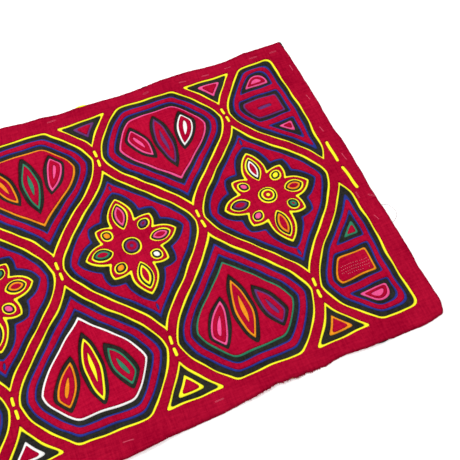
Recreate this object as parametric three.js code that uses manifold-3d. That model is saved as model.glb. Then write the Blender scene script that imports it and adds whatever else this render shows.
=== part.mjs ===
// Mola panel: layers of cotton in reverse applique, lying flat and face up.
// Millimetres, +Z up. The origin is under the middle of the panel, on the surface that it lies on.
import * as THREE from "three";
import { mergeVertices } from "three/addons/utils/BufferGeometryUtils.js";
import Module from "manifold-3d";

const wasm = await Module();
wasm.setup();

// Cloth thickness, and the clearance between one layer and the next
const GROUND_THICK = 1.0;
const PIECE_THICK = 0.5;
const LAYER_GAP = 0.3;

// The worked field inside the plain border
const FIELD_HALF_X = 192;
const FIELD_HALF_Y = 141;
const FIELD_CORNER = 9;

// The ogee lattice of red ribbons that divides the field into windows
const CELL_HALF_X = 62;
const CELL_HALF_Y = 95;
const OGEE_BEND = 0.8;
const RIBBON_HALF = 3.7;
const WINDOW_CORNER = 3;

// Where each cloth starts, measured inward from the edge of the top cloth's window
const YELLOW_SHOWS = 1.5;
const BLUE_STARTS = 5.4;
const FILL_STARTS = 7.0;
const FILL_ENDS = 11.8;
const BLUE_ENDS = 13.2;
const ISLAND_STARTS = 16.8;
const ISLAND_TOP_STARTS = 18.4;
const YELLOW_INSET = 1.4;

// The flower: petals around a round middle
const PETALS = 8;
const PETAL_ROOT = 4;
const PETAL_REACH = { upright: 49, level: 40, slanted: 34 };
const PETAL_WIDE = { straight: 11, slanted: 9.5 };
const PETAL_BLEND = 2;
const MIDDLE_RADIUS = 15;
const MIDDLE_BLEND = 3;
const MIDDLE_WINDOW = 8.4;
const PETAL_WINDOW = { out: 3.5, shorter: 9, narrower: 4.6 };
const FLOWER_BLUE_GAP = 4.6;
const FLOWER_FILL_GAP = 6.0;
const FLOWER_TOP_STARTS = 1.5;

// The fan: three leaves cut in the island of each upper and lower window
const FAN_LEAVES = [
  { across: 0, up: -6, turn: 0, half: 32, wide: 9.5 },
  { across: -22.5, up: 2, turn: -20, half: 26, wide: 9.5 },
  { across: 22.5, up: 2, turn: 20, half: 26, wide: 9.5 },
];
const LEAF_MARGIN = 21.5;
const LEAF_BLEND = 1.5;

// The corner windows: two bars leave three openings
const CORNER_BARS = [-24, 12];
const BAR_HALF = 4.2;
const CORNER_MARGIN = 12;
const CORNER_BLUE_SHOWS = 1.2;

// The small wedges along the long sides
const WEDGE_TOP_STARTS = 7.0;

// Hand-cut unevenness of every line: size, wavelengths along x and y, and phase
const WOBBLE_X = [
  { size: 0.75, alongX: 0, alongY: 1 / 19, phase: 0.7 },
  { size: 0.45, alongX: 1 / 11.3, alongY: 1 / 11.3, phase: 0.4 },
  { size: 0.22, alongX: 1 / 7.1, alongY: -2 / 7.1, phase: 0 },
];
const WOBBLE_Y = [
  { size: 0.7, alongX: 1 / 21, alongY: 0, phase: 2.1 },
  { size: 0.45, alongX: 1 / 12.7, alongY: -1 / 12.7, phase: 1.0 },
  { size: 0.22, alongX: 2 / 7.7, alongY: 1 / 7.7, phase: 0 },
];

// The uneven outline: distance along each edge, and how far out the edge is there
const EDGE_CORNER = 3;
const TOP_EDGE = [
  [-212, 158.2], [-186, 156.4], [-158, 158.9], [-128, 157.6], [-98, 160.2],
  [-70, 160.6], [-40, 159.0], [-10, 155.6], [20, 155.4], [48, 155.2],
  [80, 156.9], [112, 156.6], [146, 155.2], [180, 157.0], [212, 158.0],
];
const BOTTOM_EDGE = [
  [-212, -157.0], [-184, -159.2], [-150, -157.2], [-118, -160.4], [-88, -159.2],
  [-58, -161.6], [-26, -159.8], [4, -159.2], [32, -158.0], [60, -154.6],
  [94, -156.6], [116, -154.6], [148, -157.0], [184, -157.2], [212, -154.6],
];
const RIGHT_EDGE = [
  [-160, 205.4], [-142, 208.8], [-112, 208.2], [-90, 209.8], [-44, 208.8], [-4, 210.4],
  [22, 211.2], [46, 209.2], [80, 210.0], [106, 211.0], [140, 210.6], [160, 209.2],
];
const LEFT_EDGE = [
  [-160, -208.4], [-136, -210.6], [-104, -209.0], [-70, -210.8], [-34, -209.6], [4, -211.0],
  [40, -209.4], [78, -210.4], [112, -208.9], [140, -210.2], [160, -209.0],
];

// Soft lifts of the border off the surface: middle, half-lengths along x and y, and height.
// They end before the worked field, which lies flat.
const RIPPLES = [
  { x: 6, y: 162, spanX: 34, spanY: 17, lift: 2.2 },
  { x: 98, y: 162, spanX: 40, spanY: 17, lift: 1.7 },
  { x: 172, y: 162, spanX: 30, spanY: 17, lift: 1.5 },
  { x: -84, y: 163, spanX: 38, spanY: 18, lift: 1.8 },
  { x: -168, y: 162, spanX: 32, spanY: 17, lift: 1.6 },
  { x: 215, y: 68, spanX: 19, spanY: 38, lift: 1.9 },
  { x: 215, y: -52, spanX: 19, spanY: 36, lift: 2.3 },
  { x: 214, y: -124, spanX: 18, spanY: 28, lift: 1.6 },
  { x: 56, y: -162, spanX: 38, spanY: 17, lift: 2.3 },
  { x: 134, y: -162, spanX: 30, spanY: 17, lift: 1.7 },
  { x: -44, y: -164, spanX: 40, spanY: 18, lift: 2.0 },
  { x: -136, y: -164, spanX: 34, spanY: 18, lift: 1.7 },
  { x: -215, y: -40, spanX: 19, spanY: 38, lift: 1.8 },
  { x: -215, y: 86, spanX: 19, spanY: 34, lift: 1.7 },
];

// How finely the pieces are cut out
const SHEET_PITCH = 24;
const SHEET_MARGIN = 6;
const FLAT_HALF_X = 196;
const FLAT_HALF_Y = 145;
const CONTOUR_PITCH = 1.5;
const OUTLINE_ERROR = 0.5;
const SMALL_LOOP = 6;
const CUT_HEIGHT = 20;

// Colours of the cotton
const RED_TOP = 0xaf0730;
const RED_FILL = 0xbd1437;
const BLACK = 0x2b2a28;
const YELLOW = 0xfff52b;
const BLUE = 0x2c398e;
const GREEN = 0x358360;
const ORANGE = 0xfe7817;
const PINK = 0xf75591;
const PURPLE = 0x683276;
const WHITE = 0xfdfef8;
const CLOTH_ROUGHNESS = 0.9;

// Every window of the lattice: middle of its ogee, what fills it, and the colour of its small piece
const WINDOWS = [
  { name: "flower_left", fills: "flower", x: -124, y: 0, colour: YELLOW },
  { name: "flower_middle", fills: "flower", x: 0, y: 0, colour: YELLOW },
  { name: "flower_right", fills: "flower", x: 124, y: 0, colour: YELLOW },
  { name: "fan_upper_left", fills: "fan", x: -62, y: 95, colour: ORANGE },
  { name: "fan_upper_right", fills: "fan", x: 62, y: 95, colour: PINK },
  { name: "fan_lower_left", fills: "fan", x: -62, y: -95, colour: WHITE },
  { name: "fan_lower_right", fills: "fan", x: 62, y: -95, colour: GREEN },
  { name: "corner_upper_left", fills: "corner", x: -186, y: 95, colour: BLUE },
  { name: "corner_upper_right", fills: "corner", x: 186, y: 95, colour: BLUE },
  { name: "corner_lower_left", fills: "corner", x: -186, y: -95, colour: BLUE },
  { name: "corner_lower_right", fills: "corner", x: 186, y: -95, colour: BLUE },
  { name: "wedge_upper_left", fills: "wedge", x: -124, y: 190, colour: PINK },
  { name: "wedge_upper_middle", fills: "wedge", x: 0, y: 190, colour: PURPLE },
  { name: "wedge_upper_right", fills: "wedge", x: 124, y: 190, colour: PINK },
  { name: "wedge_lower_left", fills: "wedge", x: -124, y: -190, colour: WHITE },
  { name: "wedge_lower_middle", fills: "wedge", x: 0, y: -190, colour: YELLOW },
  { name: "wedge_lower_right", fills: "wedge", x: 124, y: -190, colour: ORANGE },
];

// Smooth joins of two depths: a depth is positive inside a shape
function softMin(a, b, blend) {
  const mix = THREE.MathUtils.clamp(0.5 + (0.5 * (b - a)) / blend, 0, 1);
  return b + (a - b) * mix - blend * mix * (1 - mix);
}

function softMax(a, b, blend) {
  return -softMin(-a, -b, blend);
}

// How far out an edge is at a place along it
function edgeAt(table, at) {
  let row = 0;
  while (row < table.length - 2 && at > table[row + 1][0]) row += 1;
  const [start, outStart] = table[row];
  const [end, outEnd] = table[row + 1];
  return outStart + (outEnd - outStart) * THREE.MathUtils.smoothstep(at, start, end);
}

function panelDepth(x, y) {
  const upright = softMin(edgeAt(TOP_EDGE, x) - y, y - edgeAt(BOTTOM_EDGE, x), EDGE_CORNER);
  const level = softMin(edgeAt(RIGHT_EDGE, y) - x, x - edgeAt(LEFT_EDGE, y), EDGE_CORNER);
  return softMin(upright, level, EDGE_CORNER);
}

function waves(table, x, y) {
  let sum = 0;
  for (const wave of table) {
    sum += wave.size * Math.sin(x * wave.alongX + y * wave.alongY + wave.phase);
  }
  return sum;
}

// Half-width of the ogee from its middle (0) to its tip (1), and the slope of that line
function ogeeWidth(t) {
  return OGEE_BEND * 0.5 * (1 + Math.cos(Math.PI * t)) + (1 - OGEE_BEND) * (1 - t);
}

function ogeeSlope(t) {
  return -OGEE_BEND * 0.5 * Math.PI * Math.sin(Math.PI * t) - (1 - OGEE_BEND);
}

function cellDepth(x, y, cell) {
  const t = Math.abs(y - cell.y) / CELL_HALF_Y;
  const inside = Math.min(t, 1);
  const slope = (CELL_HALF_X / CELL_HALF_Y) * ogeeSlope(inside);
  const across = (CELL_HALF_X * ogeeWidth(inside) - Math.abs(x - cell.x)) / Math.hypot(1, slope);
  return across - (t - inside) * CELL_HALF_Y;
}

function windowDepth(x, y, cell) {
  const field = softMin(FIELD_HALF_X - Math.abs(x), FIELD_HALF_Y - Math.abs(y), FIELD_CORNER);
  return softMin(cellDepth(x, y, cell) - RIBBON_HALF, field, WINDOW_CORNER);
}

// A leaf is the overlap of two discs: turn 0 is upright
function leafDepth(x, y, leaf) {
  const turn = THREE.MathUtils.degToRad(leaf.turn);
  const dx = x - leaf.across;
  const dy = y - leaf.up;
  const along = dx * Math.sin(turn) + dy * Math.cos(turn);
  const aside = dx * Math.cos(turn) - dy * Math.sin(turn);
  const radius = (leaf.half ** 2 + leaf.wide ** 2) / (2 * leaf.wide);
  return radius - Math.hypot(Math.abs(aside) + radius - leaf.wide, along);
}

function petalRows() {
  const rows = [];
  for (let i = 0; i < PETALS; i += 1) {
    const turn = (360 / PETALS) * i;
    const kind = turn % 180 === 0 ? "upright" : turn % 90 === 0 ? "level" : "slanted";
    const half = (PETAL_REACH[kind] - PETAL_ROOT) / 2;
    const wide = kind === "slanted" ? PETAL_WIDE.slanted : PETAL_WIDE.straight;
    rows.push(leafOut(PETAL_ROOT + half, turn, half, wide));
  }
  return rows;
}

// A leaf whose middle lies a distance out from the flower's middle
function leafOut(out, turn, half, wide) {
  const angle = THREE.MathUtils.degToRad(turn);
  return { across: out * Math.sin(angle), up: out * Math.cos(angle), turn, half, wide, out };
}

const PETAL_ROWS = petalRows();
const PETAL_WINDOWS = PETAL_ROWS.map((row) =>
  leafOut(
    row.out + PETAL_WINDOW.out,
    row.turn,
    row.half - PETAL_WINDOW.shorter,
    row.wide - PETAL_WINDOW.narrower,
  ),
);

function flowerDepth(x, y) {
  let depth = -Infinity;
  for (const row of PETAL_ROWS) {
    const petal = leafDepth(x, y, row);
    depth = depth === -Infinity ? petal : softMax(depth, petal, PETAL_BLEND);
  }
  return softMax(depth, MIDDLE_RADIUS - Math.hypot(x, y), MIDDLE_BLEND);
}

function flowerWindowDepth(x, y) {
  let depth = MIDDLE_WINDOW - Math.hypot(x, y);
  for (const row of PETAL_WINDOWS) {
    depth = Math.max(depth, leafDepth(x, y, row));
  }
  return depth;
}

function fanDepth(x, y, inward) {
  let depth = -Infinity;
  for (const row of FAN_LEAVES) {
    depth = Math.max(depth, softMin(leafDepth(x, y, row), inward - LEAF_MARGIN, LEAF_BLEND));
  }
  return depth;
}

function cornerDepth(y, inward) {
  let bars = Infinity;
  for (const bar of CORNER_BARS) {
    bars = Math.min(bars, Math.abs(y - bar) - BAR_HALF);
  }
  return softMin(inward - CORNER_MARGIN, bars, PETAL_BLEND);
}

// The pieces that fill a window, from the ground cloth up: each is a depth of a point that has
// been moved by the hand-cut waves, given with its place in the window's own frame
const PIECES = {
  flower: [
    { piece: "blue", level: 1, colour: () => BLUE, depth: flowerSurround(BLUE_STARTS, FLOWER_BLUE_GAP) },
    { piece: "fill", level: 2, colour: () => RED_FILL, depth: flowerSurround(FILL_STARTS, FLOWER_FILL_GAP) },
    { piece: "edge", level: 1, colour: (cell) => cell.colour, depth: (at) => flowerDepth(at.x, at.y) },
    { piece: "top", level: 2, colour: () => RED_FILL, depth: flowerTop },
  ],
  fan: [
    { piece: "blue", level: 1, colour: () => BLUE, depth: band(BLUE_STARTS, BLUE_ENDS) },
    { piece: "fill", level: 2, colour: () => RED_FILL, depth: band(FILL_STARTS, FILL_ENDS) },
    { piece: "edge", level: 1, colour: (cell) => cell.colour, depth: fanIsland(ISLAND_STARTS) },
    { piece: "top", level: 2, colour: () => RED_FILL, depth: fanIsland(ISLAND_TOP_STARTS) },
  ],
  corner: [
    { piece: "blue", level: 1, colour: () => BLUE, depth: cornerSurround(BLUE_STARTS, 0) },
    { piece: "fill", level: 2, colour: () => RED_FILL, depth: cornerSurround(FILL_STARTS, CORNER_BLUE_SHOWS) },
  ],
  wedge: [
    { piece: "edge", level: 1, colour: (cell) => cell.colour, depth: (at) => at.inward - BLUE_STARTS },
    { piece: "top", level: 2, colour: () => RED_FILL, depth: (at) => at.inward - WEDGE_TOP_STARTS },
  ],
};

function band(starts, ends) {
  return (at) => Math.min(at.inward - starts, ends - at.inward);
}

function flowerSurround(starts, gap) {
  return (at) => Math.min(at.inward - starts, -gap - flowerDepth(at.x, at.y));
}

function flowerTop(at) {
  return Math.min(flowerDepth(at.x, at.y) - FLOWER_TOP_STARTS, -flowerWindowDepth(at.x, at.y));
}

function fanIsland(starts) {
  return (at) => Math.min(at.inward - starts, -fanDepth(at.x, at.y, at.inward));
}

function cornerSurround(starts, back) {
  return (at) => Math.min(at.inward - starts, -back - cornerDepth(at.y, at.inward));
}

// Closed outlines of the region where a depth is positive: outer ones run anticlockwise
function outlines(depth, box) {
  const countX = Math.ceil((box.max.x - box.min.x) / CONTOUR_PITCH) + 1;
  const countY = Math.ceil((box.max.y - box.min.y) / CONTOUR_PITCH) + 1;
  const placeX = (i) => box.min.x + i * CONTOUR_PITCH;
  const placeY = (j) => box.min.y + j * CONTOUR_PITCH;
  const value = [];
  for (let j = 0; j < countY; j += 1) {
    for (let i = 0; i < countX; i += 1) {
      value.push(depth(placeX(i), placeY(j)));
    }
  }
  const at = (i, j) => value[j * countX + i];
  const crossing = new Map();
  const nextKey = new Map();
  const cross = (i0, j0, i1, j1) => {
    const key = 2 * (Math.min(j0, j1) * countX + Math.min(i0, i1)) + (i0 === i1 ? 1 : 0);
    const part = at(i0, j0) / (at(i0, j0) - at(i1, j1));
    const x = THREE.MathUtils.lerp(placeX(i0), placeX(i1), part);
    const y = THREE.MathUtils.lerp(placeY(j0), placeY(j1), part);
    crossing.set(key, new THREE.Vector2(x, y));
    return key;
  };
  for (let j = 0; j < countY - 1; j += 1) {
    for (let i = 0; i < countX - 1; i += 1) {
      linkCell([[i, j], [i + 1, j], [i + 1, j + 1], [i, j + 1]], at, cross, nextKey);
    }
  }
  return linked(nextKey, crossing);
}

// Join the crossings on one square's sides so that the inside lies on the left
function linkCell(corners, at, cross, nextKey) {
  const inside = corners.map(([i, j]) => at(i, j) > 0);
  const leaves = [];
  const enters = [];
  for (let side = 0; side < 4; side += 1) {
    const after = (side + 1) % 4;
    if (inside[side] === inside[after]) continue;
    const key = cross(...corners[side], ...corners[after]);
    if (inside[side]) leaves.push({ side, key });
    else enters.push({ side, key });
  }
  const middle = corners.reduce((sum, [i, j]) => sum + at(i, j), 0) > 0;
  for (const leave of leaves) {
    const turn = leaves.length === 2 && middle ? 1 : 3;
    const enter = enters.length === 1 ? enters[0] : enters.find((e) => e.side === (leave.side + turn) % 4);
    nextKey.set(leave.key, enter.key);
  }
}

function linked(nextKey, crossing) {
  const loops = [];
  while (nextKey.size > 0) {
    const loop = [];
    let key = nextKey.keys().next().value;
    while (nextKey.has(key)) {
      loop.push(crossing.get(key));
      const following = nextKey.get(key);
      nextKey.delete(key);
      key = following;
    }
    if (Math.abs(THREE.ShapeUtils.area(loop)) > SMALL_LOOP) loops.push(thinned(loop));
  }
  return loops;
}

// Leave out the points that an outline doesn't need
function thinned(loop) {
  let far = 0;
  loop.forEach((point, i) => {
    if (point.distanceTo(loop[0]) > loop[far].distanceTo(loop[0])) far = i;
  });
  const there = keepBends(loop.slice(0, far + 1));
  const back = keepBends([...loop.slice(far), loop[0]]);
  return [...there.slice(0, -1), ...back.slice(0, -1)];
}

function keepBends(points) {
  const first = points[0];
  const last = points[points.length - 1];
  const chord = last.clone().sub(first);
  const length = chord.length();
  let worst = 0;
  let bend = 0;
  for (let i = 1; i < points.length - 1; i += 1) {
    const away = Math.abs(chord.cross(points[i].clone().sub(first))) / length;
    if (away > worst) {
      worst = away;
      bend = i;
    }
  }
  if (worst < OUTLINE_ERROR) return [first, last];
  return [...keepBends(points.slice(0, bend + 1)).slice(0, -1), ...keepBends(points.slice(bend))];
}

// Lift of the cloth off the surface at a place
function liftAt(x, y) {
  let lift = 0;
  for (const ripple of RIPPLES) {
    const across = Math.max(1 - ((x - ripple.x) / ripple.spanX) ** 2, 0);
    const along = Math.max(1 - ((y - ripple.y) / ripple.spanY) ** 2, 0);
    lift += ripple.lift * (across * along) ** 2;
  }
  return lift;
}

// Boolean solids from closed meshes, and back
function toSolid(geometry) {
  const bare = geometry.clone();
  bare.deleteAttribute("normal");
  bare.deleteAttribute("uv");
  const merged = mergeVertices(bare, 1e-4);
  const vertProperties = new Float32Array(merged.attributes.position.array);
  const triVerts = new Uint32Array(merged.index.array);
  return new wasm.Manifold(new wasm.Mesh({ numProp: 3, vertProperties, triVerts }));
}

function toGeometry(solid) {
  const mesh = solid.getMesh();
  const geometry = new THREE.BufferGeometry();
  geometry.setAttribute("position", new THREE.BufferAttribute(mesh.vertProperties, 3));
  geometry.setIndex(new THREE.BufferAttribute(mesh.triVerts, 1));
  geometry.computeVertexNormals();
  return geometry;
}

// Lines of a sheet's grid: even over the flat part, with one more in each border
function gridLines(low, high, flatHalf) {
  const count = Math.round((2 * flatHalf) / SHEET_PITCH);
  const lines = [low, (low - flatHalf) / 2];
  for (let i = 0; i <= count; i += 1) {
    lines.push(THREE.MathUtils.lerp(-flatHalf, flatHalf, i / count));
  }
  return [...lines, (high + flatHalf) / 2, high];
}

// A sheet over the whole panel that follows the lifts, from one height to another above the surface
function sheetSolid(box, [low, high]) {
  const linesX = gridLines(box.min.x, box.max.x, FLAT_HALF_X);
  const linesY = gridLines(box.min.y, box.max.y, FLAT_HALF_Y);
  const countX = linesX.length - 1;
  const countY = linesY.length - 1;
  const layer = linesX.length * linesY.length;
  const places = [];
  for (const height of [low, high]) {
    for (const y of linesY) {
      for (const x of linesX) {
        places.push(x, y, liftAt(x, y) + height);
      }
    }
  }
  const under = (i, j) => j * (countX + 1) + i;
  const over = (i, j) => under(i, j) + layer;
  const faces = [];
  for (let j = 0; j < countY; j += 1) {
    for (let i = 0; i < countX; i += 1) {
      addSquare(faces, over(i, j), over(i + 1, j), over(i + 1, j + 1), over(i, j + 1));
      addSquare(faces, under(i, j), under(i, j + 1), under(i + 1, j + 1), under(i + 1, j));
    }
    addSquare(faces, over(0, j), over(0, j + 1), under(0, j + 1), under(0, j));
    addSquare(faces, under(countX, j), under(countX, j + 1), over(countX, j + 1), over(countX, j));
  }
  for (let i = 0; i < countX; i += 1) {
    addSquare(faces, under(i, 0), under(i + 1, 0), over(i + 1, 0), over(i, 0));
    addSquare(faces, over(i, countY), over(i + 1, countY), under(i + 1, countY), under(i, countY));
  }
  const sheet = new THREE.BufferGeometry();
  sheet.setAttribute("position", new THREE.Float32BufferAttribute(places, 3));
  sheet.setIndex(faces);
  return toSolid(sheet);
}

// Both faces of a sheet are split along the same diagonal, from a to c
function addSquare(faces, a, b, c, d) {
  faces.push(a, b, c, a, c, d);
}

// The upright solid over one closed outline
function uprightSolid(loop) {
  const geometry = new THREE.ExtrudeGeometry(new THREE.Shape(loop), {
    depth: CUT_HEIGHT,
    bevelEnabled: false,
  });
  geometry.translate(0, 0, -CUT_HEIGHT / 2);
  return toSolid(geometry);
}

// The upright solid over outer outlines, less the openings in them
function cutSolid(loops) {
  const isOpening = (loop) => THREE.ShapeUtils.area(loop) < 0;
  const solids = loops.filter((loop) => !isOpening(loop)).map(uprightSolid);
  let whole = solids.reduce((sum, solid) => sum.add(solid));
  for (const opening of loops.filter(isOpening)) {
    whole = whole.subtract(uprightSolid(opening));
  }
  return whole;
}

const wholeBox = new THREE.Box2(new THREE.Vector2(-218, -168), new THREE.Vector2(218, 168));
const outer = outlines(panelDepth, wholeBox);
const panelBox = new THREE.Box2().setFromPoints(outer.flat());
const sheetBox = panelBox.clone().expandByScalar(SHEET_MARGIN);

// Three heights of cloth: the ground cloth, the keyline cloths on it, and the red cloths on top
const SECOND_LOW = GROUND_THICK + LAYER_GAP;
const THIRD_LOW = SECOND_LOW + PIECE_THICK + LAYER_GAP;
const HEIGHTS = [
  [0, GROUND_THICK],
  [SECOND_LOW, SECOND_LOW + PIECE_THICK],
  [THIRD_LOW, THIRD_LOW + PIECE_THICK],
];
const WHOLE_SHEETS = HEIGHTS.map((heights) => sheetSolid(sheetBox, heights));
const FLAT_SHEETS = HEIGHTS.map(flatSolid);

// The plain flat sheet that the pieces inside the windows are cut from
function flatSolid([low, high]) {
  const sheet = new THREE.BoxGeometry(2 * FLAT_HALF_X, 2 * FLAT_HALF_Y, high - low);
  sheet.translate(0, 0, (low + high) / 2);
  return toSolid(sheet);
}

function clothMesh(name, colour, sheet, loops) {
  const solid = sheet.intersect(cutSolid(loops));
  const material = new THREE.MeshStandardMaterial({
    color: colour,
    roughness: CLOTH_ROUGHNESS,
    metalness: 0,
  });
  const mesh = new THREE.Mesh(toGeometry(solid), material);
  mesh.name = name;
  return mesh;
}

// A depth of the worked design, with the hand-cut waves in it
function worked(depth, cell) {
  const side = cell.y < 0 ? -1 : 1;
  return (x, y) => {
    const wavedX = x + waves(WOBBLE_X, x, y);
    const wavedY = y + waves(WOBBLE_Y, x, y);
    const inward = windowDepth(wavedX, wavedY, cell);
    return depth({ x: wavedX - cell.x, y: (wavedY - cell.y) * side, inward });
  };
}

const openings = WINDOWS.map((cell) => worked((at) => at.inward, cell));

// A cloth of the whole panel, cut open at every window
function openCloth(edgeIn, openIn) {
  return (x, y) => {
    let depth = panelDepth(x, y) - edgeIn;
    for (const opening of openings) {
      depth = Math.min(depth, openIn - opening(x, y));
    }
    return depth;
  };
}

const yellowLoops = outlines(openCloth(YELLOW_INSET, YELLOW_SHOWS), wholeBox);
const topLoops = outlines(openCloth(0, 0), wholeBox);
const panel = new THREE.Group();
panel.add(clothMesh("ground_cloth", BLACK, WHOLE_SHEETS[0], outer));
panel.add(clothMesh("yellow_cloth", YELLOW, WHOLE_SHEETS[1], yellowLoops));
panel.add(clothMesh("top_cloth", RED_TOP, WHOLE_SHEETS[2], topLoops));

for (const cell of WINDOWS) {
  const cellMiddle = new THREE.Vector2(cell.x, cell.y);
  const span = new THREE.Vector2(2 * CELL_HALF_X, 2 * CELL_HALF_Y);
  const cellBox = new THREE.Box2().setFromCenterAndSize(cellMiddle, span);
  for (const { piece, level, colour, depth } of PIECES[cell.fills]) {
    const loops = outlines(worked(depth, cell), cellBox);
    panel.add(clothMesh(`${cell.name}_${piece}`, colour(cell), FLAT_SHEETS[level], loops));
  }
}

const middle = panelBox.getCenter(new THREE.Vector2());
panel.position.set(-middle.x, -middle.y, 0);

export default panel;
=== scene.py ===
import math

import bpy
import numpy as np
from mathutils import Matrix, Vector
from mathutils.geometry import delaunay_2d_cdt


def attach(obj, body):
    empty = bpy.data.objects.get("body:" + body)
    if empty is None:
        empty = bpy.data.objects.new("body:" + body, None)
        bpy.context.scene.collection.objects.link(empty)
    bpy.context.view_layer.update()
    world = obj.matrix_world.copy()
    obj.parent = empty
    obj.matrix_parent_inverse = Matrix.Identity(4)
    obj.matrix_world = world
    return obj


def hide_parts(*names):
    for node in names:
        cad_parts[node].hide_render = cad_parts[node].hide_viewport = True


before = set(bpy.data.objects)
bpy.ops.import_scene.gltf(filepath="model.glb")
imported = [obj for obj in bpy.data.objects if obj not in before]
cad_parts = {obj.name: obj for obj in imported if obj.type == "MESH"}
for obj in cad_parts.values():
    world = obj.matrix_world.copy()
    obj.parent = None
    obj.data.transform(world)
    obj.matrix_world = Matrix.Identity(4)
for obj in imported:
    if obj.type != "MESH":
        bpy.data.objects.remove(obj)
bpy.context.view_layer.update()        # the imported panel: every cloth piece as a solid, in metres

mm = 0.001
rng = np.random.default_rng(41)
print("mola panel:", len(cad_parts), "cloth pieces in the frame")


def linked(name, data):         # a new object, in the scene
    made = bpy.data.objects.new(name, data)
    bpy.context.collection.objects.link(made)
    return made


# The camera stands over the lower edge and looks down across the panel
view = {
    "lens": 54.94,
    "place": (-33.5, -284.1, 516.0),   # mm from the panel's middle
    "down": 60.75,                     # degrees below the level
    "aside": 23.234,                   # degrees clockwise from the panel's own upright
}
camera = linked("camera", bpy.data.cameras.new("camera"))
camera.data.lens = view["lens"]
camera.data.sensor_width = 36
camera.data.clip_start = 0.01
camera.rotation_euler = (math.radians(90 - view["down"]), 0, -math.radians(view["aside"]))
bpy.context.scene.camera = camera

# Sizes of the worked field, mm
field = {"halfX": 192.0, "halfY": 141.0, "corner": 9.0}
lattice = {"halfX": 62.0, "halfY": 95.0, "bend": 0.80, "ribbon": 3.7, "corner": 3.0}

# Where each cloth starts, mm inward from the edge of the top cloth's window
step = {
    "yellow": 1.5, "blue": 5.4, "fill": 7.0, "fillEnds": 11.8, "blueEnds": 13.2,
    "island": 16.8, "islandTop": 18.4,
}

flower = {
    "petals": 8, "root": 4.0, "reach": {"upright": 49.0, "level": 40.0, "slanted": 34.0},
    "straightWide": 11.0, "slantedWide": 9.5, "blend": 2.0, "middle": 15.0, "middleBlend": 3.0,
    "middleWindow": 8.4, "windowOut": 3.5, "windowShorter": 9.0, "windowNarrower": 4.6,
    "blueGap": 4.6, "fillGap": 6.0, "topStarts": 1.5,
}
fanLeaves = [  # across, up, turn, half-length, half-width
    (0.0, -6.0, 0.0, 32.0, 9.5),
    (-22.5, 2.0, -20.0, 26.0, 9.5),
    (22.5, 2.0, 20.0, 26.0, 9.5),
]
fan = {"margin": 21.5, "blend": 1.5, "edgeBack": 0.5}
cornerWindow = {"bars": (-24.0, 12.0), "barHalf": 4.2, "margin": 12.0, "blend": 2.0, "blueShows": 1.2}

# Hand-cut unevenness of every line: size in mm, how fast along x and y, phase
waveX = [(0.75, 0, 1 / 19, 0.7), (0.45, 1 / 11.3, 1 / 11.3, 0.4), (0.22, 1 / 7.1, -2 / 7.1, 0)]
waveY = [(0.70, 1 / 21, 0, 2.1), (0.45, 1 / 12.7, -1 / 12.7, 1.0), (0.22, 2 / 7.7, 1 / 7.7, 0)]

# The uneven outline: distance along an edge, and how far out it is there
topEdge = [
    (-212, 158.2), (-186, 156.4), (-158, 158.9), (-128, 157.6), (-98, 160.2), (-70, 160.6),
    (-40, 159.0), (-10, 155.6), (20, 155.4), (48, 155.2), (80, 156.9), (112, 156.6),
    (146, 155.2), (180, 157.0), (212, 158.0),
]
bottomEdge = [
    (-212, -157.0), (-184, -159.2), (-150, -157.2), (-118, -160.4), (-88, -159.2), (-58, -161.6),
    (-26, -159.8), (4, -159.2), (32, -158.0), (60, -154.6), (94, -156.6), (116, -154.6),
    (148, -157.0), (184, -157.2), (212, -154.6),
]
rightEdge = [
    (-160, 205.4), (-142, 208.8), (-112, 208.2), (-90, 209.8), (-44, 208.8), (-4, 210.4),
    (22, 211.2), (46, 209.2), (80, 210.0), (106, 211.0), (140, 210.6), (160, 209.2),
]
leftEdge = [
    (-160, -208.4), (-136, -210.6), (-104, -209.0), (-70, -210.8), (-34, -209.6), (4, -211.0),
    (40, -209.4), (78, -210.4), (112, -208.9), (140, -210.2), (160, -209.0),
]
edgeCorner = {"round": 3.0, "sharpAt": (209.0, 157.0), "reach": 12.0, "sharper": 2.2}

# Soft lifts of the border: middle, half-lengths along x and y, height
ripples = [
    (6, 162, 34, 17, 2.2), (98, 162, 40, 17, 1.7), (172, 162, 30, 17, 1.5), (-84, 163, 38, 18, 1.8),
    (-168, 162, 32, 17, 1.6), (215, 68, 19, 38, 1.9), (215, -52, 19, 36, 2.3), (214, -124, 18, 28, 1.6),
    (56, -162, 38, 17, 2.3), (134, -162, 30, 17, 1.7), (-44, -164, 40, 18, 2.0), (-136, -164, 34, 18, 1.7),
    (-215, -40, 19, 38, 1.8), (-215, 86, 19, 34, 1.7),
]

# Heights of the cloths above the surface, mm: underside, thickness, ridge of the turned edge
cloths = {
    "ground": {"under": 0.00, "thick": 0.80, "ridge": 0.00},
    "keyline": {"under": 0.84, "thick": 0.40, "ridge": 0.07},
    "top": {"under": 1.30, "thick": 0.52, "ridge": 0.24},
}

# The windows, row by row: kind, which row, how far up it is, and the dye at each place across
windowRows = [
    ("flower", "", 0, {-124: "yellow", 0: "yellow", 124: "yellow"}),
    ("fan", "upper_", 95, {-62: "orange", 62: "pink"}),
    ("fan", "lower_", -95, {-62: "white", 62: "green"}),
    ("corner", "upper_", 95, {-186: "blue", 186: "blue"}),
    ("corner", "lower_", -95, {-186: "blue", 186: "blue"}),
    ("wedge", "upper_", 190, {-124: "pink", 0: "purple", 124: "pink"}),
    ("wedge", "lower_", -190, {-124: "white", 0: "yellow", 124: "orange"}),
]
windows = []
for kind, row, up, dyeAt in windowRows:
    for across, dye in dyeAt.items():
        side = "middle" if across == 0 else "left" if across < 0 else "right"
        windows.append((f"{kind}_{row}{side}", kind, across, up, dye))


# Depths are in mm and positive inside a shape
def softMin(a, b, blend):
    mix = np.clip(0.5 + 0.5 * (b - a) / blend, 0, 1)
    return b + (a - b) * mix - blend * mix * (1 - mix)


def softMax(a, b, blend):
    return -softMin(-a, -b, blend)


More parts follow.
